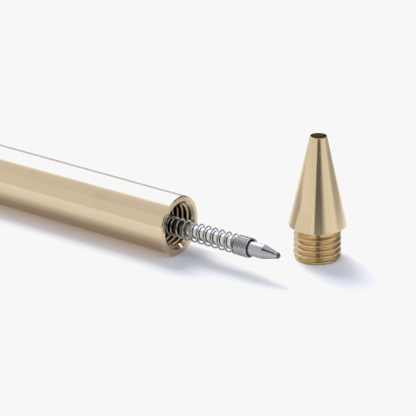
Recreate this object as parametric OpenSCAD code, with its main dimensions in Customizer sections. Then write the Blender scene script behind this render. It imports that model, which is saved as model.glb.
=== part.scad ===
// A push button ballpoint pen of turned brass, taken apart as for a new refill.
// The barrel lies along X with its threaded mouth towards +X, the refill stands out of the mouth,
// and the nose cone stands on its threaded spigot beside them. Z = 0 is the table.

/* [Barrel] */
// Wall of the barrel round its long bore
barrel_wall = 1.6; // [1.3:0.05:2.4]
// Wall of the barrel outside the nominal diameter of the mouth's thread
mouth_wall = 1; // [0.8:0.05:1.4]
// Wall of the barrel round the end bushing
bush_wall = 0.7; // [0.6:0.05:1.2]
// Width of the chamfer at each end of the barrel
barrel_chamfer = 0.2; // [0.1:0.05:0.3]
// Radial play of the refill in the long bore
bore_play = 0.45; // [0.3:0.05:0.6]
// Depth from the mouth to the end of its cut thread
mouth_thread_len = 9; // [7:0.5:12]

/* [Nose thread] */
// Pitch of the thread between nose cone and barrel
thread_pitch = 1; // [0.75:0.05:1.25]
// Length of the nose cone's spigot
spigot_len = 5.7; // [5:0.1:7]
// Length of the undercut between the spigot's thread and the cone's base
undercut_len = 0.8; // [0.5:0.1:1.2]

/* [Nose cone] */
// Height of the cone above its base
cone_len = 15.3; // [14:0.1:18]
// Outer diameter at the cone's small end
cone_tip_d = 2.9; // [2.9:0.1:4]
// Length of the narrow bore that guides the writing tip
tip_bore_len = 8.3; // [7:0.1:9]
// Radial clearance of the writing tip in that bore
tip_play = 0.1; // [0.05:0.01:0.12]
// Radial clearance of the spring in its chamber
chamber_play = 0.18; // [0.12:0.02:0.4]
// Chamfer round the cone's base
cone_edge = 0.12; // [0.05:0.01:0.2]

/* [Nose cone on the table] */
// Distance from the mouth to the standing cone, along the barrel
cone_ahead = 18.7; // [15:0.1:30]
// Distance from the barrel's axis to the standing cone, across it
cone_aside = 12.2; // [11.5:0.1:25]

/* [Refill] */
// Overall length of the refill
refill_len = 98.1; // [90:0.1:105]
// Diameter of the refill's tube
refill_d = 5.9; // [5.6:0.1:6.1]
// Wall of the refill's tube
refill_wall = 0.2; // [0.15:0.05:0.3]
// Diameter of the slim neck inside the spring
neck_d = 2; // [1.8:0.1:2.2]
// Diameter of the shoulder that carries the spring
shoulder_d = 3.4; // [3.2:0.1:3.6]
// Length of the shoulder's cylinder
shoulder_len = 3.9; // [3.2:0.1:5]
// Length of the taper from the shoulder to the tube
taper_len = 1.8; // [1.2:0.1:3]
// Diameter of the ink channel in the neck
channel_d = 0.9; // [0.6:0.1:1]
// Length of the air in the tube, behind the ink
air_len = 7.05; // [2:0.05:40]

/* [Writing tip] */
// Diameter of the tip's cylinder
tip_d = 2.45; // [2.3:0.05:2.5]
// Length of the tip's cylinder
tip_cyl_len = 5.6; // [4:0.1:7]
// Length from the ball's front to the end of the tip's cone
tip_cone_len = 3; // [2.4:0.1:4]
// Diameter of the writing ball
ball_d = 1; // [0.8:0.05:1.1]
// Radial clearance of the ball in its socket
ball_play = 0.02; // [0.01:0.005:0.03]
// Thickness of the rolled lip that holds the ball
lip_wall = 0.1; // [0.06:0.01:0.14]
// Diameter of the tip's shank, pressed into the neck
shank_d = 1.3; // [1.2:0.05:1.4]
// Length of that shank
shank_len = 4; // [3:0.5:6]

/* [Return spring] */
// Diameter of the spring's wire
wire_d = 0.3; // [0.26:0.01:0.34]
// Outer diameter of the spring
spring_d = 3.34; // [3.3:0.01:3.4]
// Pitch of the open turns
open_pitch = 1.37; // [1.1:0.01:1.5]
// Pitch of the turns at both ends, where the wire nearly touches
close_pitch = 0.72; // [0.7:0.01:0.8]
// Number of close turns at the rear end
rear_turns = 1; // [1:1:2]
// Number of turns over which the pitch opens or closes
ease_turns = 1; // [1:1:2]
// Number of open turns between them
open_turns = 7; // [5:1:8]
// Number of close turns at the front end
front_turns = 5; // [3:1:6]
// How far the spring reaches over the tip's cylinder
spring_over_tip = 3.2; // [2:0.1:4]

/* [Click mechanism] */
// Full stroke of the push button
click_travel = 5.5; // [4.5:0.1:6]
// How far the ball lies inside the cone's small end when the pen is clicked in
tip_recess = 1; // [0.5:0.1:2]
// Radial step from the end bushing's thread to the cam sleeve
sleeve_step = 0.4; // [0.3:0.05:0.5]
// Wall of the sleeve behind its grooves
sleeve_wall = 0.6; // [0.5:0.05:0.7]
// Thickness of the sleeve's rear wall
sleeve_floor = 1.5; // [1:0.1:2.5]
// Radial depth of the sleeve's grooves
groove_depth = 0.7; // [0.5:0.05:0.8]
// Width of the ribs that run in the grooves
rib_w = 1.1; // [0.9:0.05:1.3]
// Sideways and radial clearance of the ribs in the grooves
rib_play = 0.12; // [0.08:0.01:0.15]
// Height of the sleeve's ramps
cam_h = 1.2; // [0.9:0.05:1.4]
// Height of the teeth on the plunger and on the rotor
crown_h = 0.7; // [0.5:0.05:0.9]
// Axial clearance over which the rotor indexes, in front of the ramps
index_gap = 0.3; // [0.2:0.05:0.5]
// Length of the rotor's ribs
rotor_rib_len = 5; // [4:0.1:6]
// Length of the rotor's collar in front of its ribs
rotor_collar_len = 2; // [1.5:0.1:3]
// Length of the plunger's splines
spline_len = 5.2; // [4:0.1:7]
// Diameter of the rotor's guide pin
pin_d = 1.6; // [1.2:0.1:1.8]
// Length of the guide pin behind the rotor
pin_len = 8; // [7:0.1:9]
// Thickness of the thrust cup
cup_len = 2.5; // [2:0.1:4]
// Diameter of the thrust cup
cup_d = 5.6; // [5:0.1:6]
// Gap between pieces that push on each other, along the axis
push_gap = 0.1; // [0.05:0.01:0.15]
// Radial clearance of pieces that turn or slide in each other
run_play = 0.08; // [0.05:0.01:0.1]

/* [Push button] */
// Diameter of the button
button_d = 6; // [5.4:0.1:6.6]
// How far the button stands out when it is not pressed
button_out = 8.5; // [7.5:0.1:12]
// Diameter of the plunger's stem inside the button
stem_d = 4; // [3.4:0.1:4.4]
// Thickness of the button's end
button_end = 1.5; // [1:0.1:2.5]
// Radius of the button's rounded edge
button_round = 0.8; // [0.3:0.1:1.2]
// Length of the end bushing inside the barrel
bush_len = 10.8; // [9:0.1:14]
// Length of the end bushing's flange behind the barrel
flange_len = 1.5; // [1:0.1:3]

/* [Hidden] */
$fn = 64;
eps = 0.01;
// Chamfers on edges, from fine turned ones to moulded ones
fine_edge = 0.1;
small_edge = 0.2;
soft_edge = 0.3;
wide_edge = 0.4;
// How far the shapes of one piece run into each other
overlap = 0.2;

brass = "#d8bd86";
steel = "#a9abae";
nickel = "#d5d3cb";
spring_steel = "#b4b6b8";
dark_plastic = "#2c2c2e";
white_plastic = "#e9e6dd";
ink_colour = "#1b1c22";

// Diameters from the refill outwards: long bore, barrel, threads and cam sleeve
bore_d = refill_d + 2 * bore_play;
barrel_d = bore_d + 2 * barrel_wall;
thread_d = barrel_d - 2 * mouth_wall;
bush_d = barrel_d - 2 * bush_wall;
sleeve_d = bush_d - 2 * sleeve_step;

// Thread: a 60 degree profile, drawn plain at the crest of each half
thread_ease = 0.08;
male_depth = 1.2269;
female_depth = 1.0825;
male_crest_d = thread_d - 2 * thread_ease;
male_root_d = thread_d - male_depth * thread_pitch;
female_crest_d = thread_d - female_depth * thread_pitch;
recess_d = thread_d + 2 * thread_ease;
thread_relief_len = 1.5;

// Nose cone
cone_base_d = barrel_d - 2 * barrel_chamfer;
tip_bore_d = tip_d + 2 * tip_play;
chamber_d = max(spring_d, shoulder_d) + 2 * chamber_play;
drill_half_angle = 59;
countersink = 0.5;
spigot_chamfer = 0.35;
rim_chamfer = 0.04;

// Stations along the barrel, measured from the mouth
ball_front = cone_len - tip_recess + click_travel;
ball_centre = ball_front - ball_d / 2;
tip_cyl_front = ball_front - tip_cone_len;
tip_cyl_rear = tip_cyl_front - tip_cyl_len;
refill_rear = ball_front - refill_len;
cup_front = refill_rear - push_gap;
cup_rear = cup_front - cup_len;
rotor_front = cup_rear - push_gap;
rotor_rear = rotor_front - rotor_collar_len - rotor_rib_len;
cam_tip = rotor_rear - index_gap;
plunger_front = rotor_rear - push_gap - click_travel;
spline_rear = plunger_front - crown_h - spline_len;
sleeve_inside = spline_rear - push_gap;
sleeve_rear = sleeve_inside - sleeve_floor;
barrel_len = bush_len - sleeve_rear;
flange_rear = -barrel_len - flange_len;
button_rear = flange_rear - button_out;
button_front = sleeve_rear - click_travel - index_gap;
stem_rear = button_rear + button_end;

// Gap between pieces that rest on each other
rest_gap = 0.05;

// Spring
rings_per_turn = 8;
wire_sides = 6;
spring_turns = rear_turns + 2 * ease_turns + open_turns + front_turns;
spring_front = tip_cyl_rear + spring_over_tip;
function ease(u) = u < 0 ? 0 : u > 1 ? 1 : u * u * (3 - 2 * u);
function open_share(t) =
    ease((t - rear_turns) / ease_turns)
    - ease((t - rear_turns - ease_turns - open_turns) / ease_turns);
function pitch_at(t) = close_pitch + (open_pitch - close_pitch) * open_share(t);
// The advance of the wire at each ring, summed from the rear end
advance = [for (i = 0, s = 0; i <= spring_turns * rings_per_turn;
    s = s + pitch_at((i + 0.5) / rings_per_turn) / rings_per_turn, i = i + 1) s];
spring_free_len = advance[len(advance) - 1] + wire_d;
spring_seat = spring_front - spring_free_len - rest_gap;
coil_r = (spring_d - wire_d) / 2;

// Refill
refill_drop = bore_play - rest_gap;
tube_bore_d = refill_d - 2 * refill_wall;
lip_front = 0.62;
lip_back = 0.33;
lip_edge_r = 0.53 * ball_d;
lip_d = ball_d + 2 * ball_play + 2 * lip_wall;
tip_channel_d = 0.5 * ball_d;
plug_head_len = 1.6;
plug_spigot_len = 4;
vent_d = 0.8;
notch_w = 0.9;
notch_depth = 0.6;
neck_seat_len = 3;
cup_dish_depth = 0.5;
cup_rim = 0.7;
pivot_short = 0.8;
tube_front = spring_seat - shoulder_len - taper_len;

// Mechanism, radii
groove_r = sleeve_d / 2 - sleeve_wall;
land_r = groove_r - groove_depth;
rib_r = groove_r - rib_play;
core_r = land_r - rib_play;
groove_w = rib_w + 2 * rib_play;
steps = 8;
sector = 360 / steps;
ramp_past = 1.15;
crown_start = 0.1;
// The first groove is centred on angle 0, with the steep side of a ramp along its edge
groove_edge = asin(groove_w / 2 / land_r);

// The table frame: its origin is the centre of the footprint
x_low = button_rear;
x_high = max(ball_front, cone_ahead + cone_base_d / 2);
y_low = -barrel_d / 2;
y_high = cone_aside + cone_base_d / 2;
centre_x = (x_low + x_high) / 2;
centre_y = (y_low + y_high) / 2;

// Places what is drawn along Z on the barrel's axis, or a little below it
module lying(drop = 0) {
    translate([-centre_x, -centre_y, barrel_d / 2 - drop]) rotate([0, 90, 0]) children();
}

// Places what is drawn from the cone's base on the standing cone's axis
module standing() {
    translate([cone_ahead - centre_x, cone_aside - centre_y, spigot_len]) children();
}

// A turned piece from its half section, as points of radius and station
module turned(points) {
    rotate_extrude() polygon(points);
}

// A plain tube between two stations
module ring(r_in, r_out, z_low, z_high) {
    translate([0, 0, z_low]) difference() {
        cylinder(r = r_out, h = z_high - z_low);
        translate([0, 0, -1]) cylinder(r = r_in, h = z_high - z_low + 2);
    }
}

// A wedge of one sector, from angle 0 to the sector's angle
module sector_wedge(r, z_low, z_high) {
    reach = r / cos(sector / 2) + 1;
    translate([0, 0, z_low]) linear_extrude(z_high - z_low)
        polygon([[0, 0], [reach, 0], [reach * cos(sector), reach * sin(sector)]]);
}

// A crown of saw teeth that stand up from z: each is low at its start and steep at its end
module saw_crown(r_in, r_out, z, h, foot = overlap) {
    half_chord = r_out * sin(sector / 2);
    // The low end of a ramp stays a little above the crown's base
    start = crown_start * h;
    // The ramp's prism runs past its sector on both sides, and the sector trims it
    low = start + (h - start) * (1 - ramp_past) / 2;
    high = start + (h - start) * (1 + ramp_past) / 2;
    intersection() {
        ring(r_in, r_out, z - foot, z + h + 1);
        for (i = [0 : steps - 1]) rotate(i * sector) intersection() {
            sector_wedge(r_out, z - foot - 1, z + h + 1);
            rotate(sector / 2) translate([0, 0, z]) rotate([90, 0, 90]) linear_extrude(r_out + 1)
                polygon([[-ramp_past * half_chord, -foot], [ramp_past * half_chord, -foot],
                    [ramp_past * half_chord, high], [-ramp_past * half_chord, low]]);
        }
    }
}

// Four straight ribs or grooves round the axis
module four_bars(r_in, r_out, w, z_low, z_high) {
    for (i = [0 : 3]) rotate(i * 90)
        translate([r_in, -w / 2, z_low]) cube([r_out - r_in, w, z_high - z_low]);
}

module barrel() {
    seat_d = sleeve_d + 2 * rest_gap;
    r = barrel_d / 2;
    c = barrel_chamfer;
    thread_end = -mouth_thread_len;
    entry_end = -(recess_d - female_crest_d) / 2;
    relief_end = thread_end - thread_relief_len;
    color(brass) lying() turned([
        [recess_d / 2, 0], [r - c, 0], [r, -c], [r, -barrel_len + c], [r - c, -barrel_len],
        [bush_d / 2, -barrel_len], [bush_d / 2, sleeve_rear], [seat_d / 2, sleeve_rear],
        [seat_d / 2, rotor_front], [bore_d / 2, rotor_front], [bore_d / 2, relief_end],
        [recess_d / 2, relief_end + (recess_d - bore_d) / 2], [recess_d / 2, thread_end],
        [female_crest_d / 2, thread_end], [female_crest_d / 2, entry_end]]);
}

module nose_cone() {
    base_r = cone_base_d / 2;
    tip_r = cone_tip_d / 2;
    crest_r = male_crest_d / 2;
    root_r = male_root_d / 2;
    step = cone_len - tip_bore_len;
    step_drop = (chamber_d - tip_bore_d) / 2 / tan(drill_half_angle);
    color(brass) standing() turned([
        [chamber_d / 2 + countersink, -spigot_len], [crest_r - spigot_chamfer, -spigot_len],
        [crest_r, -spigot_len + spigot_chamfer], [crest_r, -undercut_len - (crest_r - root_r)],
        [root_r, -undercut_len], [root_r, 0], [base_r - cone_edge, 0], [base_r, cone_edge],
        [tip_r, cone_len - rim_chamfer], [tip_r - rim_chamfer, cone_len],
        [tip_bore_d / 2, cone_len], [tip_bore_d / 2, step], [chamber_d / 2, step - step_drop],
        [chamber_d / 2, -spigot_len + countersink]]);
}

// The spring's wire: one tube swept along a coil whose pitch opens and closes
function coil_point(i) =
    let(a = 360 * i / rings_per_turn)
    [coil_r * cos(a), coil_r * sin(a), advance[i]];
function coil_run(i) =
    let(a = 360 * i / rings_per_turn, rise = pitch_at(i / rings_per_turn) / (2 * PI * coil_r))
    [-sin(a), cos(a), rise] / norm([1, rise]);
function wire_ring(centre, a, run) =
    let(out = [cos(a), sin(a), 0], side = cross(run, out))
    [for (k = [0 : wire_sides - 1]) let(b = 360 * k / wire_sides)
        centre + wire_d / 2 * (cos(b) * out + sin(b) * side)];

module return_spring() {
    last = len(advance) - 1;
    a_last = 360 * last / rings_per_turn;
    // Each end runs straight for one diameter of the wire
    rings = [
        wire_ring(coil_point(0) - wire_d * coil_run(0), 0, coil_run(0)),
        for (i = [0 : last]) wire_ring(coil_point(i), 360 * i / rings_per_turn, coil_run(i)),
        wire_ring(coil_point(last) + wire_d * coil_run(last), a_last, coil_run(last))];
    n = len(rings);
    m = wire_sides;
    gap = min([for (i = [0 : last - rings_per_turn + 2]) for (j = [i + rings_per_turn - 2 : last])
        norm(coil_point(i) - coil_point(j))]) - wire_d;
    echo(least_gap_between_turns = gap, free_length = spring_free_len, turns = spring_turns);
    color(spring_steel) lying(refill_drop) translate([0, 0, spring_front - spring_free_len + wire_d / 2])
        polyhedron(
            points = [for (r = rings) for (p = r) p],
            faces = [
                [for (k = [0 : m - 1]) k],
                for (i = [0 : n - 2]) for (k = [0 : m - 1]) let(q = (k + 1) % m)
                    [i * m + k, (i + 1) * m + k, (i + 1) * m + q],
                for (i = [0 : n - 2]) for (k = [0 : m - 1]) let(q = (k + 1) % m)
                    [i * m + k, (i + 1) * m + q, i * m + q],
                [for (k = [m - 1 : -1 : 0]) (n - 1) * m + k]]);
}

module writing_tip() {
    socket_r = ball_d / 2 + ball_play;
    r = tip_d / 2;
    neck_z = ball_front - lip_front;
    shank_rear = tip_cyl_rear - shank_len;
    color(steel) lying(refill_drop) difference() {
        turned([
            [0, shank_rear], [shank_d / 2 - fine_edge, shank_rear],
            [shank_d / 2, shank_rear + small_edge], [shank_d / 2, tip_cyl_rear],
            [r - fine_edge, tip_cyl_rear], [r, tip_cyl_rear + fine_edge], [r, tip_cyl_front],
            [lip_d / 2, neck_z - fine_edge], [lip_d / 2, neck_z], [lip_edge_r, ball_front - lip_back],
            [0, ball_front - lip_back]]);
        translate([0, 0, ball_centre]) sphere(r = socket_r);
        cylinder_between(tip_channel_d / 2, shank_rear - 1, ball_centre);
    }
}

module writing_ball() {
    color(steel) lying(refill_drop) translate([0, 0, ball_centre]) sphere(d = ball_d);
}

module refill_neck() {
    seat_rear = tube_front - neck_seat_len;
    color(nickel) lying(refill_drop) turned([
        [channel_d / 2, seat_rear], [tube_bore_d / 2 - small_edge, seat_rear],
        [tube_bore_d / 2, seat_rear + small_edge], [tube_bore_d / 2, tube_front],
        [refill_d / 2, tube_front], [shoulder_d / 2, tube_front + taper_len],
        [shoulder_d / 2, spring_seat - fine_edge], [shoulder_d / 2 - fine_edge, spring_seat],
        [neck_d / 2, spring_seat], [neck_d / 2, tip_cyl_rear], [shank_d / 2, tip_cyl_rear],
        [shank_d / 2, tip_cyl_rear - shank_len], [channel_d / 2, tip_cyl_rear - shank_len]]);
}

module refill_tube() {
    color(steel) lying(refill_drop)
        ring(tube_bore_d / 2, refill_d / 2, refill_rear + plug_head_len, tube_front);
}

module ink_column() {
    plug_front = refill_rear + plug_head_len + plug_spigot_len;
    color(ink_colour) lying(refill_drop)
        cylinder_between(tube_bore_d / 2 - eps, plug_front + air_len, tube_front - neck_seat_len);
}

module refill_plug() {
    head = refill_rear + plug_head_len;
    r = refill_d / 2;
    inner_r = tube_bore_d / 2 - eps;
    color(dark_plastic) lying(refill_drop) difference() {
        turned([
            [vent_d / 2, refill_rear], [r - wide_edge, refill_rear], [r, refill_rear + wide_edge],
            [r, head], [inner_r, head], [inner_r, head + plug_spigot_len - wide_edge],
            [inner_r - wide_edge, head + plug_spigot_len], [vent_d / 2, head + plug_spigot_len]]);
        // Notches that let air past when the plug sits in the cup
        for (i = [0 : 1]) rotate(i * 90)
            translate([-r - 1, -notch_w / 2, refill_rear - 1]) cube([2 * r + 2, notch_w, notch_depth + 1]);
    }
}

module thrust_cup() {
    pivot_r = pin_d / 2 + run_play;
    r = cup_d / 2;
    dish_r = r - cup_rim;
    color(white_plastic) lying() turned([
        [pivot_r, cup_rear], [r - soft_edge, cup_rear], [r, cup_rear + soft_edge],
        [r, cup_front - small_edge], [r - small_edge, cup_front], [dish_r, cup_front],
        [dish_r - soft_edge, cup_front - cup_dish_depth], [pivot_r, cup_front - cup_dish_depth]]);
}

module rotor() {
    rib_front = rotor_rear + rotor_rib_len;
    pivot_front = rotor_front + push_gap + cup_len - pivot_short;
    color(white_plastic) lying() union() {
        ring(pin_d / 2 - overlap, core_r, rotor_rear + crown_h, rotor_front);
        cylinder_between(pin_d / 2, rotor_rear - pin_len, pivot_front);
        // Teeth that look back at the plunger
        translate([0, 0, rotor_rear + crown_h]) mirror([0, 0, 1]) mirror([0, 1, 0])
            saw_crown(pin_d / 2 - overlap, core_r, 0, crown_h);
        // Ribs with sloping rear ends, which ride the sleeve's ramps
        difference() {
            intersection() {
                four_bars(core_r - 2 * overlap, rib_r + 1, rib_w, rotor_rear, rib_front);
                cylinder_between(rib_r, rotor_rear - 1, rib_front + 1);
            }
            for (i = [0 : 3]) rotate(i * 90) rib_slope();
        }
    }
}

// What is cut from a rib's rear end, at the slope of the sleeve's ramps
module rib_slope() {
    rise = cam_h * rib_w / (2 * groove_r * sin(sector / 2));
    side = rib_w / 2;
    out = side + fine_edge;
    translate([core_r - 1, 0, rotor_rear]) rotate([90, 0, 90]) linear_extrude(rib_r - core_r + 2)
        polygon([[-out, -1], [out, -1], [out, rise], [side, rise], [-side, 0], [-out, 0]]);
}

module cylinder_between(r, z_low, z_high) {
    translate([0, 0, z_low]) cylinder(r = r, h = z_high - z_low);
}

module plunger() {
    crown_base = plunger_front - crown_h;
    pin_bore_r = pin_d / 2 + run_play;
    color(white_plastic) lying() difference() {
        union() {
            cylinder_between(core_r, spline_rear, crown_base);
            translate([0, 0, crown_base]) rotate(sector / 2)
                saw_crown(pin_bore_r - overlap, core_r, 0, crown_h);
            intersection() {
                four_bars(core_r - 2 * overlap, rib_r + 1, rib_w, spline_rear, crown_base - 2 * overlap);
                cylinder_between(rib_r, spline_rear - 1, crown_base + 1);
            }
            cylinder_between(stem_d / 2, stem_rear, spline_rear + overlap);
        }
        cylinder_between(pin_bore_r, plunger_front - pin_len - 1, plunger_front + 1);
    }
}

module cam_sleeve() {
    ramp_base = cam_tip - cam_h;
    stem_bore_r = stem_d / 2 + run_play;
    color(dark_plastic) lying() difference() {
        union() {
            ring(groove_r, sleeve_d / 2, sleeve_rear, rotor_front);
            ring(stem_bore_r, groove_r + overlap, sleeve_rear, sleeve_inside);
            ring(land_r, groove_r + overlap, sleeve_inside - overlap, ramp_base);
            translate([0, 0, ramp_base]) rotate(groove_edge)
                saw_crown(land_r, groove_r + overlap, 0, cam_h);
        }
        // Four deep grooves, one under every second ramp
        four_bars(land_r - 1, groove_r, groove_w, sleeve_inside, cam_tip + 1);
    }
}

module end_bushing() {
    r = barrel_d / 2;
    c = barrel_chamfer;
    bore_r = button_d / 2 + run_play;
    thread_r = bush_d / 2 - eps;
    color(brass) lying() turned([
        [bore_r, flange_rear + soft_edge], [bore_r + soft_edge, flange_rear],
        [r - wide_edge, flange_rear], [r, flange_rear + wide_edge], [r, -barrel_len - c],
        [r - c, -barrel_len], [thread_r, -barrel_len], [thread_r, sleeve_rear - wide_edge],
        [thread_r - wide_edge, sleeve_rear], [bore_r, sleeve_rear]]);
}

module button_cap() {
    r = button_d / 2;
    q = button_round;
    color(brass) lying() difference() {
        turned([
            [0, button_rear],
            for (a = [0 : 15 : 90]) [r - q + q * sin(a), button_rear + q - q * cos(a)],
            [r, button_front - soft_edge], [r - soft_edge, button_front], [0, button_front]]);
        cylinder_between(stem_d / 2, stem_rear, button_front + 1);
    }
}

barrel();
nose_cone();
return_spring();
writing_tip();
writing_ball();
refill_neck();
refill_tube();
ink_column();
refill_plug();
thrust_cup();
rotor();
plunger();
cam_sleeve();
end_bushing();
button_cap();
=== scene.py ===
"""Looks of a turned brass push button ballpoint pen, taken apart for a new refill.

The barrel lies with its threaded mouth to the right, the refill stands out of it under its return
spring, and the nose cone stands on its threaded spigot beside them. Sizes are in millimetres, as a
turner would write them, and become metres in the row frame when a mesh is made. A name that ends
in _r is a radius. A station is a distance along the axis of a turned piece from its seat, and the
barrel's and the refill's are below 0 inside the barrel.
"""

import logging
import math
from collections.abc import Mapping, Sequence
from dataclasses import dataclass, replace
from enum import Enum

import bmesh
import bpy
import numpy as np
from mathutils import Matrix, Vector


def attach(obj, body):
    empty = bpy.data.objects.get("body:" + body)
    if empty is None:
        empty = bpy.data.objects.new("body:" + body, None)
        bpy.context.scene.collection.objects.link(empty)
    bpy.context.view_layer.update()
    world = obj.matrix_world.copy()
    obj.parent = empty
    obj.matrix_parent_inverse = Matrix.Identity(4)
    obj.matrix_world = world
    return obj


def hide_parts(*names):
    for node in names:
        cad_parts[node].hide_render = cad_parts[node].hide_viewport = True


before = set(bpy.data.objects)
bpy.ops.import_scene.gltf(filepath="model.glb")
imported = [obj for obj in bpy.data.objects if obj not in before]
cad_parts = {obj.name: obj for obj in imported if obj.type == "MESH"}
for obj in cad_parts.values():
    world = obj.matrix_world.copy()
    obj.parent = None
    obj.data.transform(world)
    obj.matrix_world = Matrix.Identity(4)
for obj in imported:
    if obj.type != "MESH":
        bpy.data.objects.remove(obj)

LOG = logging.getLogger("pen")
MM = 0.001
TURN = 2 * math.pi
# Points nearer than this are one point, and shorter edges than the next are none, in metres
WELD = 2e-7
SLIVER = 1e-8
BUMP_HEIGHT = 0.02 * MM
UV_LAYER = "surface"
PAINTED_SHADE_LAYER = "cut"

Array = np.ndarray
Outline = Sequence[Sequence[float]]
Rows = tuple[Array, Array]
Point = tuple[float, float, float]
Colour = tuple[float, float, float]
Piece = bpy.types.Object
Material = bpy.types.Material
Node = bpy.types.Node
Tree = bpy.types.NodeTree
Socket = bpy.types.NodeSocket
Sockets = bpy.types.NodeOutputs
Value = Socket | Sequence[float] | float

BLACK: Colour = (0.0, 0.0, 0.0)
WHITE: Colour = (1.0, 1.0, 1.0)


class Lay(Enum):
    """How the axis of a turned piece lies in the row frame."""

    LYING = "along +X, towards the open mouth"
    STANDING = "along +Z, up from the table"


class Step(Enum):
    """How a value goes from one end of its range to the other."""

    STRAIGHT = "LINEAR"
    EASED = "SMOOTHSTEP"


@dataclass(frozen=True)
class Seat:
    """The place of a turned piece: the origin of its axis, in millimetres, and how the axis lies.

    Attributes:
        origin: The point of the axis at station 0, in the row frame.
        lay: The direction of the axis.
    """

    origin: Point
    lay: Lay

    def place(self, radius: Array | float, angle: Array, station: Array) -> Array:
        """Turns radius, angle and station into points of the row frame.

        A point lies at the origin, plus its station along the axis, plus its radius times the cosine
        and the sine of its angle on two directions square to the axis.

        Args:
            radius: Distances from the axis in millimetres.
            angle: Angles round the axis in radians, right handed about it.
            station: Distances along the axis in millimetres.

        Returns:
            Points in metres, with one more dimension than the inputs.
        """
        radius, angle, station = np.broadcast_arrays(radius, angle, station)
        across, aside = radius * np.cos(angle), radius * np.sin(angle)
        if self.lay is Lay.LYING:
            parts = (station, aside, -across)
        else:
            parts = (across, aside, station)
        return (np.stack(parts, axis=-1) + np.array(self.origin)) * MM


MOUTH = Seat((49.2, -6.0, 5.0), Lay.LYING)
REFILL = Seat((49.2, -6.0, 4.6), Lay.LYING)
CONE_BASE = Seat((67.9, 6.2, 5.7), Lay.STANDING)


def new_object(name: str, data: bpy.types.ID) -> Piece:
    """An object that holds a mesh, a lamp or a camera, at the origin, in the scene.

    Args:
        name: Its name.
        data: What it holds.

    Returns:
        The object.
    """
    piece = bpy.data.objects.new(name, data)
    bpy.context.scene.collection.objects.link(piece)
    return piece


def grid_piece(
    name: str, points: Array, around: Array, run: Array, closed: bool = False,
    sharp_deg: float = 60.0, cut: Array | None = None
) -> Piece:
    """Makes a piece from a grid of points, welds its seams and shades it smooth.

    The last column stands on the first one. The corners of a quad are the point, its neighbour one
    column on, the one beyond that one row on, and the one back in the first column, and they turn
    anticlockwise as seen from outside. The surface map is turns round the axis, and millimetres of
    run along the outline.

    Args:
        name: The piece's name.
        points: Rows by columns of points in metres.
        around: Angle of every point in radians.
        run: Distance of every point along its outline, in millimetres.
        closed: Whether the last row joins the first, as on a piece with a bore.
        sharp_deg: Edges that turn by more than this many degrees stay sharp.
        cut: How much of the finish's painted shade colour, with its gloss there, every point shows, or
            None.

    Returns:
        The new object.
    """
    rows, columns = points.shape[:2]
    row = np.arange(rows if closed else rows - 1)[:, None]
    column = np.arange(columns - 1)[None, :]
    after = (row + 1) % rows
    corners = (row * columns + column, row * columns + column + 1,
               after * columns + column + 1, after * columns + column)
    faces = np.stack(corners, axis=-1).reshape(-1, 4)
    surface = np.stack([around.reshape(-1) / TURN, run.reshape(-1)], axis=-1)[faces.reshape(-1)]
    mesh = bpy.data.meshes.new(name)
    mesh.from_pydata(points.reshape(-1, 3).tolist(), [], faces.tolist())
    layer = mesh.uv_layers.new(name=UV_LAYER)
    layer.data.foreach_set("uv", surface.reshape(-1).astype(np.float32))
    if cut is not None:
        shown = mesh.attributes.new(PAINTED_SHADE_LAYER, "FLOAT", "POINT")
        shown.data.foreach_set("value", cut.reshape(-1).astype(np.float32))
    shell = bmesh.new()
    shell.from_mesh(mesh)
    bmesh.ops.remove_doubles(shell, verts=shell.verts, dist=WELD)
    bmesh.ops.dissolve_degenerate(shell, edges=shell.edges, dist=SLIVER)
    shell.to_mesh(mesh)
    shell.free()
    mesh.polygons.foreach_set("use_smooth", np.ones(len(mesh.polygons), bool))
    mesh.set_sharp_from_angle(angle=math.radians(sharp_deg))
    mesh.update()
    return new_object(name, mesh)


def turned_skin(
    name: str, seat: Seat, parts: Sequence[Rows], closed: bool = True,
    cuts: Sequence[Array | float] | None = None
) -> Piece:
    """A turned piece's skin from radius and station as functions of row and column.

    The column's angle goes once round the axis, and the row runs along the outline.

    Args:
        name: The piece's name.
        seat: Where its axis lies.
        parts: Radius and station of each stretch of rows, in millimetres.
        closed: Whether the last row joins the first, as on a piece with a bore.
        cuts: How much of the finish's painted shade colour, with its gloss there, each stretch shows,
            or None.

    Returns:
        The new object.
    """
    radius, station = (np.vstack(stretches) for stretches in zip(*parts))
    angle = np.broadcast_to(np.linspace(0.0, TURN, radius.shape[1]), radius.shape)
    steps = np.hypot(np.diff(radius, axis=0), np.diff(station, axis=0))
    run = np.vstack([np.zeros_like(radius[:1]), np.cumsum(steps, axis=0)])
    cut = None
    if cuts is not None:
        cut = np.vstack([np.broadcast_to(share, part[0].shape) for share, part in zip(cuts, parts)])
    points = seat.place(radius, angle, station)
    return grid_piece(name, points, angle, run, closed, sharp_deg=35.0, cut=cut)


def eased(outline: Outline, radius: float, steps: int = 4, most: float = 0.45) -> Outline:
    """Rounds each inner corner of an outline by a small arc.

    An arc leaves the corner at the same distance on both sides, at most a share of the shorter side,
    and runs as a quadratic curve through the two points with the corner as its handle.

    Args:
        outline: Points of radius and station in millimetres.
        radius: The distance from the corner at which the arc begins.
        steps: The number of spans in each arc.
        most: The share of the shorter side.

    Returns:
        The outline with each inner corner replaced by its arc.
    """
    points = np.array(outline, float)
    corner = points[1:-1]
    into, out = points[:-2] - corner, points[2:] - corner
    length_in, length_out = (np.linalg.norm(side, axis=1)[:, None] for side in (into, out))
    reach = np.minimum(radius, most * np.minimum(length_in, length_out))
    start, end = corner + into / length_in * reach, corner + out / length_out * reach
    share = np.linspace(0.0, 1.0, steps + 1)[None, :, None]
    arcs = ((1 - share) ** 2 * start[:, None] + 2 * share * (1 - share) * corner[:, None]
            + share**2 * end[:, None])
    return np.vstack([points[:1], arcs.reshape(-1, 2), points[-1:]]).tolist()


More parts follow.
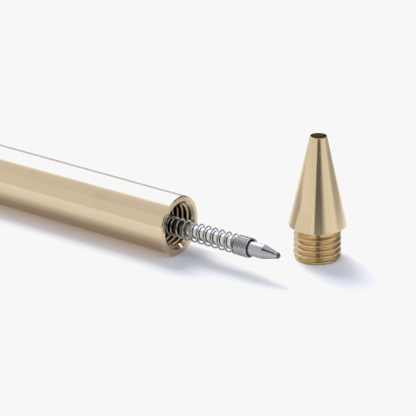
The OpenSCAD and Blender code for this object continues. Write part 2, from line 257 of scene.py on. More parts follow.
def rows_of(outline: Outline, columns: int) -> Rows:
    """Rows of equal radius and station round the axis, one for each point of an outline.

    Args:
        outline: Points of radius and station in millimetres.
        columns: Number of columns of the grid.

    Returns:
        The radius and the station, each rows by columns.
    """
    pairs = np.array(outline, float)
    ones = np.ones((1, columns))
    return pairs[:, :1] * ones, pairs[:, 1:] * ones


def arc_outline(
    radii: tuple[float, float], middle: float, degrees: tuple[float, float], points: int
) -> Outline:
    """An arc of an outline, as it turns away from the rear of the axis.

    The radius is its middle's plus its own times the sine of the angle, and the station is its
    middle's less its own radius times the cosine.

    Args:
        radii: Radius at which its middle lies, and its own radius, in millimetres.
        middle: Station of its middle.
        degrees: Angle at which it begins and at which it ends.
        points: Number of points.

    Returns:
        Points of radius and station.
    """
    arc = np.radians(np.linspace(*degrees, points))
    out, own = radii
    return np.stack([out + own * np.sin(arc), middle - own * np.cos(arc)], axis=-1).tolist()


@dataclass(frozen=True)
class ScrewThread:
    """A single start right handed thread, the same on both sides of each crest.

    Attributes:
        low: Station where the thread begins.
        high: Station where it ends.
        crest: Radius of its crests in millimetres.
        root: Radius of its roots.
        profile: Pairs of a distance from the middle of a crest, as a share of a pitch from 0 to 0.5,
            and how far from the crest to the root the thread is there.
        start: How far on the thread is, as a share of a pitch.
        pitch: Millimetres a turn.
        rows_per_pitch: Rows of points in one pitch.
    """

    low: float
    high: float
    crest: float
    root: float
    profile: Outline
    start: float
    pitch: float = 1.0
    rows_per_pitch: int = 20

    def rows(self, columns: int) -> Rows:
        """Rows that climb with the thread, cut off square at both of its ends.

        A row's station is its own start plus a pitch for each turn of the angle, held between the
        thread's ends. The radius is read from the phase of that station and angle.

        Args:
            columns: Number of columns of the grid.

        Returns:
            The radius and the station, each rows by columns.
        """
        turn = np.linspace(0.0, 1.0, columns)[None, :]
        count = math.ceil((self.high - self.low) / self.pitch) + 1
        step = self.pitch / self.rows_per_pitch
        first = self.low - self.pitch + np.arange(count * self.rows_per_pitch + 1)[:, None] * step
        station = np.clip(first + turn * self.pitch, self.low, self.high)
        phase = (station - self.low) / self.pitch - turn - self.start
        depth = np.interp(np.abs(phase - np.round(phase)), *zip(*self.profile))
        return self.crest + (self.root - self.crest) * depth, station

    def depth(self, radius: Array) -> Array:
        """How far each radius is from the crest to the root, from 0 to 1."""
        return (radius - self.crest) / (self.root - self.crest)


@dataclass(frozen=True)
class Board:
    """A node tree, with one short way to place each kind of node."""

    tree: Tree

    def join(self, node: Node, inputs: Mapping[str | int, Value]) -> Node:
        """Joins a node's inputs to sockets, or sets their own numbers and colours.

        Args:
            node: The node.
            inputs: What each of its named inputs gets.

        Returns:
            The same node.
        """
        for name, value in inputs.items():
            socket = node.inputs[name]
            if isinstance(value, Socket):
                self.tree.links.new(value, socket)
            elif socket.type == "RGBA":
                socket.default_value = (*value, 1.0)
            else:
                socket.default_value = value
        return node

    def place(self, kind: str, inputs: Mapping[str | int, Value], **settings: object) -> Node:
        """Places a node.

        Args:
            kind: Its type, without the two words that all shader nodes begin with.
            inputs: What each of its inputs gets.
            **settings: Its own settings, made before its inputs.

        Returns:
            The node.
        """
        node = self.tree.nodes.new("ShaderNode" + kind)
        for name, value in settings.items():
            setattr(node, name, value)
        return self.join(node, inputs)

    def group(self, tree: Tree, inputs: Mapping[str, Value]) -> Sockets:
        """What a group of nodes puts out."""
        return self.place("Group", inputs, node_tree=tree).outputs

    def surface(self) -> Socket:
        """The piece's own surface map."""
        return self.place("UVMap", {}, uv_map=UV_LAYER).outputs["UV"]

    def body(self, kind: str = "Object") -> Socket:
        """The place on the object, or another kind of coordinate."""
        return self.place("TexCoord", {}).outputs[kind]

    def split(self, where: Value) -> Sockets:
        """The X, Y and Z of a place."""
        return self.place("SeparateXYZ", {0: where}).outputs

    def math(self, kind: str, first: Value, second: Value) -> Socket:
        """One sum of two values."""
        return self.place("Math", {0: first, 1: second}, operation=kind).outputs[0]

    def dot(self, where: Value, axis: Array) -> Socket:
        """The part of a direction along an axis."""
        parts = {0: where, 1: axis.tolist()}
        return self.place("VectorMath", parts, operation="DOT_PRODUCT").outputs["Value"]

    def mix(self, share: Value, first: Value, second: Value) -> Socket:
        """The first colour where the share is 0, and the second where it is 1."""
        colours = {"Factor": share, "A": first, "B": second}
        return self.place("Mix", colours, data_type="RGBA").outputs["Result"]

    def noise(self, where: Value, scale: Value, detail: float, rough: float = 0.5) -> Socket:
        """A cloud of noise, from 0 to 1."""
        inputs = {"Vector": where, "Scale": scale, "Detail": detail, "Roughness": rough}
        return self.place("TexNoise", inputs).outputs["Fac"]

    def ramp(
        self, value: Value, source: tuple[float, float], target: tuple[float, float] = (0.0, 1.0),
        step: Step = Step.STRAIGHT
    ) -> Socket:
        """A value taken from one range to another.

        Args:
            value: The value.
            source: Its values at the two ends of the range.
            target: What it becomes there.
            step: How it goes from one to the other.

        Returns:
            The new value's socket.
        """
        inputs = {"Value": value, "From Min": source[0], "From Max": source[1],
                  "To Min": target[0], "To Max": target[1]}
        return self.place("MapRange", inputs, interpolation_type=step.value).outputs["Result"]

    def bump(self, height: Value, strength: float) -> Socket:
        """A normal that follows a very small height."""
        inputs = {"Height": height, "Strength": strength, "Distance": BUMP_HEIGHT}
        return self.place("Bump", inputs).outputs["Normal"]


class SharedPatterns:
    """Node groups that more than one finish uses, each built once."""

    def __init__(self) -> None:
        """Builds the groups."""
        self.lathe_marks = self._lathe_marks()
        self.handling = self._handling()

    @staticmethod
    def _new(
        name: str, number: str, usual: float, masks: Sequence[str]
    ) -> tuple[Board, Sockets, Node]:
        """A group that takes a place and one number, and puts out masks.

        Args:
            name: The group's name.
            number: The name of its number.
            usual: What the number is where a finish doesn't give it.
            masks: The names of its masks.

        Returns:
            Its board, what is given to it, and its output node.
        """
        tree = bpy.data.node_groups.new(name, "ShaderNodeTree")
        tree.interface.new_socket("Vector", in_out="INPUT", socket_type="NodeSocketVector")
        given = tree.interface.new_socket(number, in_out="INPUT", socket_type="NodeSocketFloat")
        given.default_value = usual
        for mask in masks:
            tree.interface.new_socket(mask, in_out="OUTPUT", socket_type="NodeSocketFloat")
        return Board(tree), tree.nodes.new("NodeGroupInput").outputs, tree.nodes.new("NodeGroupOutput")

    def _lathe_marks(self) -> Tree:
        """Fine rings that a turning tool leaves, from the run along the outline.

        The height is a noise of the run, on a fine scale, that wanders a little round the axis. The
        mask is the same on a coarse scale, for the colour.

        Returns:
            The group.
        """
        board, given, result = self._new("lathe_marks", "Rings per mm", 9.0, ("Height", "Mask"))
        surface = board.split(given["Vector"])
        wander = board.math("MULTIPLY", surface["X"], 0.02)
        place = board.place("CombineXYZ", {"X": surface["Y"], "Y": wander}).outputs[0]
        fine = board.noise(place, given["Rings per mm"], detail=3.0)
        coarse = board.noise(place, scale=1.7, detail=2.0)
        board.join(result, {"Height": fine, "Mask": coarse})
        return board.tree

    def _handling(self) -> Tree:
        """Faint smears that fingers leave.

        The mask is a soft cloud, cut off where it is low.

        Returns:
            The group.
        """
        board, given, result = self._new("handling", "Size", 180.0, ("Mask",))
        cloud = board.noise(given["Vector"], given["Size"], detail=4.0, rough=0.6)
        board.join(result, {"Mask": board.ramp(cloud, source=(0.45, 0.75), step=Step.EASED)})
        return board.tree


def new_material(name: str) -> tuple[Material, Board, Node]:
    """A material with nodes.

    Args:
        name: Its name.

    Returns:
        The material, its board and its principled shader.
    """
    material = bpy.data.materials.new(name)
    material.use_nodes = True
    return material, Board(material.node_tree), material.node_tree.nodes["Principled BSDF"]


def glowing(name: str, tint: Colour, level: float) -> tuple[Material, Board, Node]:
    """A new material that gives off light and reflects none.

    Args:
        name: Its name.
        tint: The light's colour.
        level: The light's strength.

    Returns:
        The material, its board and its principled shader.
    """
    material, board, shader = new_material(name)
    board.join(shader, {"Base Color": BLACK, "Specular IOR Level": 0.0,
                        "Emission Color": tint, "Emission Strength": level})
    return material, board, shader


@dataclass(frozen=True)
class TurnedMetal:
    """A turned and polished metal: rings from the tool, and faint smears in its gloss.

    Attributes:
        name: The material's name.
        colour: Its colour in the light.
        deep: Its colour where it is a little tarnished.
        gloss: Lowest and highest roughness.
        rings: Tool marks per millimetre of outline.
        ring_depth: Strength of their bump.
        drawn: How far the rings draw a reflection out along the axis, from 0 to 1.
        thread: Its painted shade colour, shown where the painted shade mask is set.
        cut_gloss: The share of its roughness that is left there.
    """

    name: str
    colour: Colour
    deep: Colour
    gloss: tuple[float, float]
    rings: float
    ring_depth: float
    drawn: float = 0.0
    thread: Colour | None = None
    cut_gloss: float = 0.6

    def make(self, patterns: SharedPatterns) -> Material:
        """Builds the material.

        Args:
            patterns: The shared node groups.

        Returns:
            The material.
        """
        material, board, shader = new_material(self.name)
        around = board.place("Tangent", {}, direction_type="UV_MAP", uv_map=UV_LAYER)
        marks = board.group(
            patterns.lathe_marks, {"Vector": board.surface(), "Rings per mm": self.rings})
        smears = board.group(patterns.handling, {"Vector": board.body()})
        # How much painted shade each point shows, with a lower roughness there
        cut = board.place("Attribute", {}, attribute_name=PAINTED_SHADE_LAYER).outputs["Fac"]
        gloss = board.ramp(smears["Mask"], (0.0, 1.0), self.gloss)
        sharper = board.ramp(cut, (0.0, 1.0), (1.0, self.cut_gloss))
        tint = board.mix(marks["Mask"], self.colour, self.deep)
        board.join(shader, {
            "Metallic": 1.0,
            "Anisotropic": self.drawn,
            # A quarter turn, from round the axis to along it
            "Anisotropic Rotation": 0.25,
            "Tangent": around.outputs["Tangent"],
            # Painted shade: the shade colour where the mask is set
            "Base Color": board.mix(cut, tint, self.thread or self.colour),
            "Roughness": board.math("MULTIPLY", gloss, sharper),
            "Normal": board.bump(marks["Height"], self.ring_depth)})
        return material


@dataclass(frozen=True)
class MouldedPlastic:
    """A moulded plastic with a fine spark eroded grain.

    Attributes:
        name: The material's name.
        colour: Its colour.
        worn: Its colour where it has rubbed.
        gloss: Lowest and highest roughness.
        grain: Strength of the grain's bump.
        grain_scale: Grains per metre.
        rub_scale: Rubbed places per metre.
    """

    name: str
    colour: Colour
    worn: Colour
    gloss: tuple[float, float]
    grain: float
    grain_scale: float = 9000.0
    rub_scale: float = 420.0

    def make(self, patterns: SharedPatterns) -> Material:
        """Builds the material.

        Args:
            patterns: The shared node groups.

        Returns:
            The material.
        """
        material, board, shader = new_material(self.name)
        body = board.body()
        rubbed = board.group(patterns.handling, {"Vector": body, "Size": self.rub_scale})["Mask"]
        grain = board.noise(body, self.grain_scale, detail=2.0)
        board.join(shader, {
            "Base Color": board.mix(rubbed, self.colour, self.worn),
            "Roughness": board.ramp(rubbed, (0.0, 1.0), self.gloss),
            "Normal": board.bump(grain, self.grain)})
        return material


# Its thread colour is painted shade and interreflection, deep gold, for the nose cone's thread grooves
BRASS = TurnedMetal(
    "polished_brass", (0.66, 0.53, 0.365), (0.64, 0.51, 0.345), (0.15, 0.19), 9.0, 0.06,
    drawn=1.0, thread=(0.62, 0.45, 0.22))
NOSE_BRASS = replace(
    BRASS, name="nose_brass", colour=(0.655, 0.525, 0.34), deep=(0.635, 0.505, 0.32))
# Its thread colour is painted shade, nearly black, for the grooves inside the barrel's mouth
BARREL_BRASS = replace(BRASS, name="brass_painted_thread_shade", thread=(0.24, 0.155, 0.075))
FINISHES: dict[str, TurnedMetal | MouldedPlastic] = {
    "brass": BRASS,
    "tip_steel": TurnedMetal(
        "turned_tip_steel", (0.43, 0.42, 0.43), (0.37, 0.36, 0.37), (0.07, 0.11), 14.0, 0.18,
        drawn=0.3),
    # Its thread colour is painted shade, for the neck's rear part inside the barrel's mouth
    "neck_plate": TurnedMetal(
        "nickel_plate", (0.68, 0.63, 0.575), (0.62, 0.57, 0.515), (0.15, 0.24), 5.0, 0.10,
        thread=(0.28, 0.21, 0.14)),
    "tube_steel": TurnedMetal(
        "drawn_tube_steel", (0.70, 0.70, 0.71), (0.64, 0.64, 0.65), (0.16, 0.30), 4.0, 0.12),
    "spring_steel": TurnedMetal(
        "drawn_wire_steel", (0.42, 0.43, 0.44), (0.35, 0.36, 0.37), (0.10, 0.18), 3.0, 0.10),
    "ball_carbide": TurnedMetal(
        "ground_carbide", (0.14, 0.13, 0.13), (0.11, 0.10, 0.10), (0.08, 0.14), 8.0, 0.05),
    "plug_plastic": MouldedPlastic(
        "black_moulded_plastic", (0.030, 0.030, 0.033), (0.05, 0.05, 0.052), (0.34, 0.5), 0.3),
    "cam_plastic": MouldedPlastic(
        "white_moulded_plastic", (0.78, 0.76, 0.70), (0.70, 0.68, 0.62), (0.30, 0.45), 0.25),
    "ink": MouldedPlastic(
        "paste_ink", (0.012, 0.012, 0.022), (0.02, 0.02, 0.035), (0.12, 0.22), 0.4),
}
# The solids that stay as they are, and the slot that each takes its finish from
PLAIN_SOLIDS = (
    ("refill_plug", "plug_plastic"), ("thrust_cup", "cam_plastic"), ("rotor", "cam_plastic"),
    ("plunger", "cam_plastic"), ("cam_sleeve", "plug_plastic"), ("ink_column", "ink"))


def dress(piece: Piece, material: Material) -> None:
    """Gives a piece its one material.

    Args:
        piece: The object.
        material: Its material.
    """
    piece.data.materials.clear()
    piece.data.materials.append(material)


def fit(piece: Piece, material: Material, body: str, node: str) -> Piece:
    """Dresses a new piece, seats it on its body and lets it stand for its solid.

    Args:
        piece: The object.
        material: Its material.
        body: The body that it rides on.
        node: The solid that it replaces.

    Returns:
        The piece.
    """
    dress(piece, material)
    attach(piece, body)
    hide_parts(node)
    return piece


@dataclass
class Barrel:
    """The barrel with the thread cut inside its mouth, the end bushing and the button."""

    radius: float = 4.998
    length: float = 111.9
    edge: float = 0.2
    recess_r: float = 4.08
    rim_gap: float = 0.02
    thread_end: float = -9.0
    relief_len: float = 1.5
    crest_r: float = 3.459
    root_r: float = 4.0
    bore_r: float = 3.4
    sleeve_seat_r: float = 3.95
    sleeve_seat: tuple[float, float] = (-101.1, -81.0)
    bush_r: float = 4.3
    bush_gap: float = 0.01
    bush_edge: float = 0.4
    hole_r: float = 3.08
    hole_edge: float = 0.3
    flange_len: float = 1.5
    button_r: float = 3.0
    button_round: float = 0.8
    button_edge: float = 0.3
    button_side: float = 1.0
    button_front: float = -106.9
    button_rear: float = -121.9
    socket_r: float = 2.0
    socket_floor: float = 1.5
    thread_start: float = 0.46
    # How much painted shade the mouth's thread shows: per thread's depth, on the crests, in the
    # countersink
    cut_gain: float = 2.0
    crest_cut: float = 0.2
    sink_cut: float = 0.35
    columns: int = 257
    button_columns: int = 193

    def thread(self) -> ScrewThread:
        """The inside thread: crests at the bore side, flanks of 60 degrees and a narrow root.

        Returns:
            The thread.
        """
        profile = [(0.07, 0.0), (0.1, 0.03), (0.13, 0.12), (0.385, 0.86), (0.42, 0.96), (0.45, 1.0)]
        return ScrewThread(
            self.thread_end, 0.0, self.crest_r, self.root_r, profile, start=self.thread_start)

    def shell(self) -> Piece:
        """The barrel's skin: outside from the rear to the mouth, and back through the bore.

        Returns:
            The piece.
        """
        outside = eased([
            (self.bush_r, -self.length), (self.radius - self.edge, -self.length),
            (self.radius, -self.length + self.edge), (self.radius, -self.edge),
            (self.radius - self.edge, 0.0), (self.recess_r + self.rim_gap, 0.0)], radius=0.05)
        thread = self.thread()
        radius, station = (part[::-1] for part in thread.rows(self.columns))
        # The thread's grooves are painted dark as shade inside the mouth, and its crests a little
        groove = np.clip(self.cut_gain * thread.depth(radius), self.crest_cut, 1.0)
        # The countersink cuts the first turns away at 45 degrees
        countersink = self.recess_r - (thread.high - station)
        # The countersink shows a part of the painted shade
        groove = np.where(countersink > radius, self.sink_cut, groove)
        radius = np.maximum(radius, countersink)
        relief = thread.low - self.relief_len
        step = self.recess_r - self.bore_r
        rear, front = self.sleeve_seat
        inside = eased([
            (self.crest_r, thread.low), (self.recess_r, thread.low), (self.recess_r, relief + step),
            (self.bore_r, relief), (self.bore_r, front), (self.sleeve_seat_r, front),
            (self.sleeve_seat_r, rear), (self.bush_r, rear), (self.bush_r, -self.length)], radius=0.03)
        return turned_skin(
            "barrel_shell", MOUTH,
            [rows_of(outside, self.columns), (radius, station), rows_of(inside, self.columns)],
            cuts=[0.0, groove, 0.0])

    def bushing(self) -> Piece:
        """The end bushing, from its hole's inner end out to the flange and back.

        Returns:
            The piece.
        """
        rear, inner = -self.length - self.flange_len, self.sleeve_seat[0]
        neck_r = self.bush_r - self.bush_gap
        outline = eased([
            (self.hole_r, rear + self.hole_edge), (self.hole_r + self.hole_edge, rear),
            (self.radius - self.bush_edge, rear), (self.radius, rear + self.bush_edge),
            (self.radius, -self.length - self.edge), (self.radius - self.edge, -self.length),
            (neck_r, -self.length), (neck_r, inner - self.bush_edge),
            (neck_r - self.bush_edge, inner), (self.hole_r, inner)], radius=0.12)
        return turned_skin("bushing_turned", MOUTH, [rows_of(outline, self.columns)])

    def button(self) -> Piece:
        """The button's cup: a rounded end, a plain side and the socket for the plunger's stem.

        Returns:
            The piece.
        """
        rear, front, edge = self.button_rear, self.button_front, self.button_edge
        flat_r, floor = self.button_r - self.button_round, rear + self.socket_floor
        round_middle = rear + self.button_round
        end = arc_outline((flat_r, self.button_round), round_middle, (0.0, 90.0), points=13)
        side = eased([
            (self.button_r, rear + self.button_side), (self.button_r, front - edge),
            (self.button_r - edge, front), (self.socket_r, front),
            (self.socket_r, floor), (0.0, floor)], radius=0.06)
        outline = [(0.0, rear), *end, *side]
        rows = rows_of(outline, self.button_columns)
        return turned_skin("button_turned", MOUTH, [rows], closed=False)

    def build(self, brass: Material, thread_shade_brass: Material) -> list[Piece]:
        """Makes the three brass pieces and seats them on their bodies.

        Args:
            brass: The polished brass.
            thread_shade_brass: The same brass with painted shade in the mouth's thread.

        Returns:
            The pieces.
        """
        return [fit(self.shell(), thread_shade_brass, "barrel", "barrel"),
                fit(self.bushing(), brass, "barrel", "end_bushing"),
                fit(self.button(), brass, "button", "button_cap")]


@dataclass
class NoseCone:
    """The nose cone that stands on its threaded spigot."""

    height: float = 15.3
    base_r: float = 4.8
    base_edge: float = 0.12
    tip_r: float = 1.45
    rim: float = 0.04
    bore_r: float = 1.325
    bore_len: float = 8.3
    chamber_r: float = 1.88
    chamber_top: float = 6.667
    spigot: float = 5.7
    undercut: float = 0.8
    crest_r: float = 3.92
    root_r: float = 3.3866
    foot_r: float = 3.57
    mouth_cone: float = 0.5
    thread_start: float = 0.37
    # How much painted shade the thread's crests show
    crest_cut: float = 0.15
    columns: int = 257

    def thread(self) -> ScrewThread:
        """The outside thread: narrow eased crests, flanks of 60 degrees and a rounded root.

        Returns:
            The thread.
        """
        profile = [(0.0, 0.0), (0.02, 0.0), (0.05, 0.02), (0.08, 0.06), (0.12, 0.15),
                   (0.33, 0.79), (0.38, 0.90), (0.42, 0.96), (0.46, 0.99), (0.5, 1.0)]
        return ScrewThread(
            -self.spigot, -self.undercut, self.crest_r, self.root_r, profile, start=self.thread_start)

    def skin(self) -> Piece:
        """The cone's skin: foot, thread, undercut, cone and the two bores.

        Returns:
            The piece.
        """
        thread = self.thread()
        radius, station = thread.rows(self.columns)
        # Both ends of the thread fall away at 45 degrees
        radius = np.minimum(radius, self.foot_r + (station - thread.low))
        radius = np.minimum(radius, self.root_r + (thread.high - station))
        foot = [(self.chamber_r + self.mouth_cone, -self.spigot), (self.foot_r, -self.spigot)]
        body = eased([
            (self.root_r, -self.undercut), (self.root_r, 0.0), (self.base_r - self.base_edge, 0.0),
            (self.base_r, self.base_edge), (self.tip_r, self.height - self.rim),
            (self.tip_r - self.rim, self.height), (self.bore_r, self.height),
            (self.bore_r, self.height - self.bore_len), (self.chamber_r, self.chamber_top),
            (self.chamber_r, -self.spigot + self.mouth_cone), foot[0]], radius=0.04)
        # The grooves are painted deep gold as shade and interreflection, most at the roots, and the
        # crests a little
        groove = self.crest_cut + (1.0 - self.crest_cut) * thread.depth(radius)
        return turned_skin(
            "nose_piece", CONE_BASE,
            [rows_of(foot, self.columns), (radius, station), rows_of(body, self.columns)],
            cuts=[1.0, groove, 0.0])

    def build(self, brass: Material) -> list[Piece]:
        """Makes the cone, seated on its body."""
        return [fit(self.skin(), brass, "nose", "nose_cone")]


@dataclass
class ReturnSpring:
    """The return spring: open turns, and touching turns at its front end.

    Its rear turns are given one by one, as turn numbers and the stations that they pass.
    """

    wire_r: float = 0.165
    coil_r: float = 1.52
    rear_turns: tuple[float, ...] = (-0.4, 0.0, 1.0, 2.0, 3.0, 4.0)
    rear_stations: tuple[float, ...] = (-1.75, -1.64, -0.83, 0.33, 1.67, 3.06)
    dense_turn: float = 10.3
    dense_station: float = 11.68
    dense_pitch: float = 0.305
    front: float = 14.24
    turn_zero: float = 0.75
    blend: float = 0.17
    blend_steps: int = 9
    ring_steps: int = 60
    sides: int = 14
    cap_steps: int = 4

    def coil(self) -> tuple[Array, Array]:
        """The coil's line, as angle and station.

        The station is read from the turn number, straight between the turns where the pitch
        changes, and smoothed over a third of a turn. Turn 0 faces away from the cone, along -Y.

        Returns:
            The angle in radians and the station in millimetres of each point.
        """
        last = self.dense_turn + (self.front - self.dense_station) / self.dense_pitch
        turns = (*self.rear_turns, self.dense_turn, last)
        stations = (*self.rear_stations, self.dense_station, self.front)
        turn = np.linspace(turns[0], last, int((last - turns[0]) * self.ring_steps) + 1)
        spread = np.linspace(-self.blend, self.blend, self.blend_steps)[:, None]
        station = np.interp(turn[None, :] + spread, turns, stations).mean(axis=0)
        return (turn + self.turn_zero) * TURN, station

    def wire(self) -> Piece:
        """The wire: a circle carried along the coil, square to its run, with rounded ends.

        A ring's point is the coil's point, plus the cosine of its angle outwards and the sine along
        the cross product of run and outward, both times the ring's radius.

        Returns:
            The piece.
        """
        angle, station = self.coil()
        centre = REFILL.place(self.coil_r, angle, station)
        outward = REFILL.place(self.coil_r + 1.0, angle, station) - centre
        outward /= np.linalg.norm(outward, axis=1, keepdims=True)
        run = np.gradient(centre, axis=0)
        run /= np.linalg.norm(run, axis=1, keepdims=True)
        side = np.cross(run, outward)
        side /= np.linalg.norm(side, axis=1, keepdims=True)
        # Both ends close in over the last rings, as a quarter circle of the wire's radius
        cap = np.linspace(0.0, math.pi / 2, self.cap_steps + 1)[:-1]
        size = np.concatenate([np.sin(cap), np.ones(len(angle)), np.sin(cap[::-1])])
        push = np.concatenate([-np.cos(cap), np.zeros(len(angle)), np.cos(cap[::-1])])
        size, push = (self.wire_r * MM * share[:, None, None] for share in (size, push))
        ends = ((self.cap_steps, self.cap_steps), (0, 0))
        centre, outward, side, run = (
            np.pad(line, ends, mode="edge")[:, None] for line in (centre, outward, side, run))
        turn = np.linspace(0.0, TURN, self.sides + 1)
        ring = np.cos(turn)[None, :, None] * outward + np.sin(turn)[None, :, None] * side
        points = centre + run * push + size * ring
        reach = np.linalg.norm(np.diff(centre[:, 0], axis=0), axis=1) / MM
        length = np.concatenate([[0.0], np.cumsum(reach)])[:, None]
        shape = points.shape[:2]
        return grid_piece(
            "coil_spring", points, np.broadcast_to(turn, shape), np.broadcast_to(length, shape))

    def build(self, steel: Material) -> list[Piece]:
        """Makes the spring, seated on its body."""
        return [fit(self.wire(), steel, "spring", "return_spring")]


@dataclass
class Refill:
    """The refill: tube, neck, writing tip and ball.

    The neck's rear part, inside the barrel's mouth, is painted dark as shade up to a station. The lip
    is pairs of a radius and a distance from the ball's front.
    """

    tube_r: float = 2.95
    tube_bore_r: float = 2.75
    rear: float = -78.3
    plug_head: float = 1.6
    tube_front: float = -7.65
    seat_len: float = 3.0
    seat_edge: float = 0.2
    taper: float = 1.8
    shoulder_r: float = 1.7
    edge: float = 0.1
    neck_r: float = 1.12
    painted_shade_end: float = 0.7
    painted_shade_fade: float = 0.4
    seat: float = -1.95
    channel_r: float = 0.45
    shank_r: float = 0.65
    shank_len: float = 4.0
    tip_r: float = 1.225
    tip_bore_r: float = 0.25
    tip_rear: float = 11.2
    tip_front: float = 16.8
    lip: tuple[tuple[float, float], ...] = ((0.62, -0.72), (0.62, -0.62), (0.53, -0.34))
    ball_r: float = 0.5
    ball_gap: float = 0.02
    ball_front: float = 19.8
    socket_arc: tuple[float, float] = (108.0, 20.0)
    socket_depth: float = 0.4
    columns: int = 129
    ball_columns: int = 49

    def tube(self) -> Piece:
        """The drawn tube, with its ends a little rounded.

        Returns:
            The piece.
        """
        back = self.rear + self.plug_head
        outline = [(self.tube_bore_r, back), (self.tube_r, back), (self.tube_r, self.tube_front),
                   (self.tube_bore_r, self.tube_front)]
        loop = eased([*outline, outline[0]], radius=0.05)
        return turned_skin("refill_tube_skin", REFILL, [rows_of(loop, self.columns)])

    def neck(self) -> Piece:
        """The plated neck: seat in the tube, taper, shoulder, and the slim part inside the spring.

        Returns:
            The piece.
        """
        back, shank = self.tube_front - self.seat_len, self.tip_rear - self.shank_len
        outline = eased([
            (self.channel_r, back), (self.tube_bore_r - self.seat_edge, back),
            (self.tube_bore_r, back + self.seat_edge), (self.tube_bore_r, self.tube_front),
            (self.tube_r, self.tube_front), (self.shoulder_r, self.tube_front + self.taper),
            (self.shoulder_r, self.seat - self.edge), (self.shoulder_r - self.edge, self.seat),
            (self.neck_r, self.seat), (self.neck_r, self.painted_shade_end),
            (self.neck_r, self.painted_shade_end + self.painted_shade_fade), (self.neck_r, self.tip_rear),
            (self.shank_r, self.tip_rear), (self.shank_r, shank), (self.channel_r, shank),
            (self.channel_r, back)], radius=0.08)
        # The neck is painted dark as shade inside the barrel's mouth, up to the first point beyond its
        # rear part
        dark = next(row for row, (_, station) in enumerate(outline) if station > self.painted_shade_end)
        cut = (np.arange(len(outline)) < dark)[:, None]
        return turned_skin("neck_turned", REFILL, [rows_of(outline, self.columns)], cuts=[cut])

    def tip(self) -> Piece:
        """The writing tip: shank, cylinder, cone, and the rolled lip round the ball.

        Returns:
            The piece.
        """
        back, centre = self.tip_rear - self.shank_len, self.ball_front - self.ball_r
        socket = arc_outline((0.0, self.ball_r + self.ball_gap), centre, self.socket_arc, points=9)
        lip = [(radius, self.ball_front + station) for radius, station in self.lip]
        outside = eased([
            (self.tip_bore_r, back), (self.shank_r - self.edge, back),
            (self.shank_r, back + self.seat_edge), (self.shank_r, self.tip_rear),
            (self.tip_r - self.edge, self.tip_rear), (self.tip_r, self.tip_rear + self.edge),
            (self.tip_r, self.tip_front), *lip, socket[0]], radius=0.05)
        outline = [*outside, *socket[1:], (self.tip_bore_r, centre - self.socket_depth)]
        return turned_skin("tip_turned", REFILL, [rows_of(outline, self.columns)])

    def ball(self) -> Piece:
        """The writing ball, from pole to pole.

        Returns:
            The piece.
        """
        centre = self.ball_front - self.ball_r
        outline = arc_outline((0.0, self.ball_r), centre, (0.0, 180.0), points=25)
        rows = rows_of(outline, self.ball_columns)
        return turned_skin("ball_ground", REFILL, [rows], closed=False)

    def build(self, finishes: Mapping[str, Material]) -> list[Piece]:
        """Makes the refill's metal pieces and seats them on their bodies.

        Args:
            finishes: Materials by the record's slot names.

        Returns:
            The pieces.
        """
        return [fit(piece, finishes[slot], body, node) for piece, slot, body, node in (
            (self.tube(), "tube_steel", "refill", "refill_tube"),
            (self.neck(), "neck_plate", "refill", "refill_neck"),
            (self.tip(), "tip_steel", "refill", "writing_tip"),
            (self.ball(), "ball_carbide", "ball", "writing_ball"))]


def aim(azimuth: float, elevation: float) -> Array:
    """The direction at degrees from +X towards +Y, and degrees above the horizon."""
    around, up = np.radians((azimuth, elevation))
    return np.array((math.cos(up) * math.cos(around), math.cos(up) * math.sin(around), math.sin(up)))


def scaled(colour: Colour, level: float) -> Colour:
    """A colour times a level."""
    return tuple(level * part for part in colour)


@dataclass(frozen=True)
class Panel:
    """A bright or dark field round the table, as polished metal sees it.

    Attributes:
        name: What it stands for.
        azimuth: Degrees from +X towards +Y of its middle.
        elevation: Degrees above the horizon of its middle.
        half_width: Half its width, as a share of its distance.
        half_height: Half its height, as a share of its distance.
        level: Its brightness, where the lit table is 1.
        soft: Width of its soft edge, as a share of its distance.
        roll: Degrees that it is turned about its middle.
        tint: Its colour.
    """

    name: str
    azimuth: float
    elevation: float
    half_width: float
    half_height: float
    level: float
    soft: float
    roll: float = 0.0
    tint: Colour = WHITE

    def axes(self) -> tuple[Array, Array, Array]:
        """The panel's own directions.

        Its width is level and square to its middle, its height is square to both, and the roll
        turns the two about the middle.

        Returns:
            The directions to its middle, along its width and along its height.
        """
        middle, level = aim(self.azimuth, self.elevation), aim(self.azimuth + 90.0, 0.0)
        rise, roll = np.cross(middle, level), math.radians(self.roll)
        return (middle, math.cos(roll) * level + math.sin(roll) * rise,
                math.cos(roll) * rise - math.sin(roll) * level)

    def mask(self, board: Board, where: Socket) -> Socket:
        """1 inside the panel and 0 outside it.

        The direction's parts along the panel's width and height are divided by its part towards
        the panel's middle, and each is compared with the panel's half size.

        Args:
            board: The world's nodes.
            where: The direction.

        Returns:
            The mask's socket.
        """
        middle, wide, high = self.axes()
        ahead = board.dot(where, middle)
        inside = board.math("GREATER_THAN", ahead, 0.0)
        for axis, half in ((wide, self.half_width), (high, self.half_height)):
            share = board.math("ABSOLUTE", board.math("DIVIDE", board.dot(where, axis), ahead), 0.0)
            edge = board.ramp(share, (half + self.soft, half - self.soft), step=Step.EASED)
            inside = board.math("MULTIPLY", inside, edge)
        return inside


@dataclass(frozen=True)
class SoftLamp:
    """A wide soft lamp far away, which lights the table and isn't seen in the metal.

    Attributes:
        name: Its name.
        azimuth: Degrees from +X towards +Y.
        elevation: Degrees above the horizon.
        spread: The angle in degrees that it fills.
        energy: Its strength.
        colour: Its colour.
    """

    name: str
    azimuth: float
    elevation: float
    spread: float
    energy: float
    colour: Colour

    def hang(self) -> None:
        """Puts the lamp in the scene."""
        lamp = bpy.data.lights.new(self.name, "SUN")
        lamp.energy, lamp.angle, lamp.color = self.energy, math.radians(self.spread), self.colour
        holder = new_object(self.name, lamp)
        holder.rotation_mode = "QUATERNION"
        holder.rotation_quaternion = Vector(aim(self.azimuth, self.elevation)).to_track_quat("Z", "Y")
        holder.visible_glossy = False


